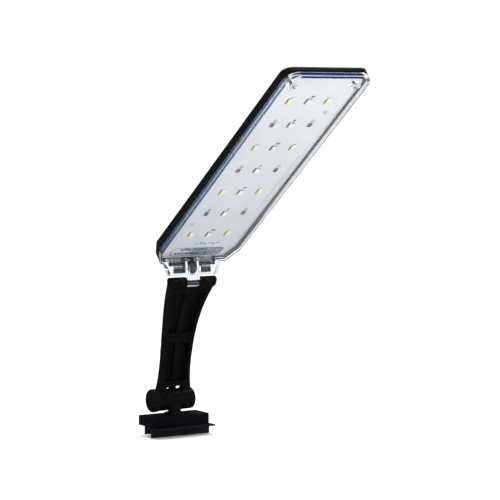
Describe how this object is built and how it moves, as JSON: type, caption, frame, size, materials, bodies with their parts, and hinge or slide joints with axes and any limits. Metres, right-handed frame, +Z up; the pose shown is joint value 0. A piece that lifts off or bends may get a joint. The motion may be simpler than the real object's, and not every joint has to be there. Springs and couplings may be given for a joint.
{
  "type": "clip-on LED picture light",
  "caption": "Slim LED light on a curved swivelling arm, with a slotted foot that clips over the edge of a panel and a flat tilting head under a clear cover.",
  "frame": {"origin": "middle of the ceiling of the panel slot under the foot, where the lamp rests on the panel's edge", "axes": "+Z up along the swivel post, -Y towards the lit side, +X across the lamp"},
  "size_m": [0.0592, 0.1854, 0.2325],
  "materials": {
    "satin_black": "satin moulded black",
    "matt_black": "fine matt moulded black",
    "gloss_black": "gloss black",
    "clear_plastic": "clear, slightly cool",
    "board": "white solder mask",
    "rubber": "soft matt",
    "nylon": "natural",
    "phosphor": "yellow phosphor in a white frame",
    "clear_led": "clear lens over a dark die",
    "chip_black": "dark film",
    "steel": "zinc plated"
  },
  "bodies": {
    "foot": {"foot_block": "matt_black", "panel_clip": "matt_black", "clip_screw_left": "steel", "clip_screw_right": "steel", "swivel_bush": "nylon"},
    "post": {"swivel_post": "gloss_black", "swivel_washer": "steel", "swivel_screw": "steel"},
    "arm": {"arm_channel": "satin_black", "hinge_washer_left": "nylon", "hinge_washer_right": "nylon", "clamp_nut": "steel", "hinge_cap": "satin_black", "tilt_pin": "steel"},
    "knob": {"clamp_knob": "satin_black", "clamp_bolt": "steel"},
    "head": {"back_shell": "satin_black", "clear_cover": "clear_plastic", "seal_gasket": "rubber", "led_board": "board", "board_screw_near": "steel", "board_screw_far": "steel", "cover_screw_left": "steel", "cover_screw_right": "steel", "lead_grommet": "rubber", "clear_led_1": "clear_led", "white_led_1_left": "phosphor", "white_led_1_right": "phosphor", "clear_led_2": "clear_led", "resistor_2_left": "chip_black", "resistor_2_right": "chip_black", "clear_led_3": "clear_led", "white_led_3_left": "phosphor", "white_led_3_right": "phosphor", "clear_led_4": "clear_led", "resistor_4_left": "chip_black", "resistor_4_right": "chip_black", "clear_led_5": "clear_led", "white_led_5_left": "phosphor", "white_led_5_right": "phosphor", "clear_led_6": "clear_led", "resistor_6_left": "chip_black", "resistor_6_right": "chip_black", "clear_led_7": "clear_led", "white_led_7_left": "phosphor", "white_led_7_right": "phosphor"}
  },
  "joints": [
    {"name": "post_swivel", "type": "hinge", "parent": "foot", "child": "post", "pos_m": [0, 0.00295, 0.0077], "axis": [0, 0, 1], "range_deg": [-180, 180]},
    {"name": "arm_tilt", "type": "hinge", "parent": "post", "child": "arm", "pos_m": [0, 0.00615, 0.017], "axis": [1, 0, 0], "range_deg": [-80, 60]},
    {"name": "head_tilt", "type": "hinge", "parent": "arm", "child": "head", "pos_m": [0, -0.01873, 0.0944], "axis": [1, 0, 0], "range_deg": [-45, 75]},
    {"name": "knob_turn", "type": "hinge", "parent": "arm", "child": "knob", "pos_m": [-0.0136, 0.00615, 0.017], "axis": [-1, 0, 0], "range_deg": [-180, 180]}
  ]
}
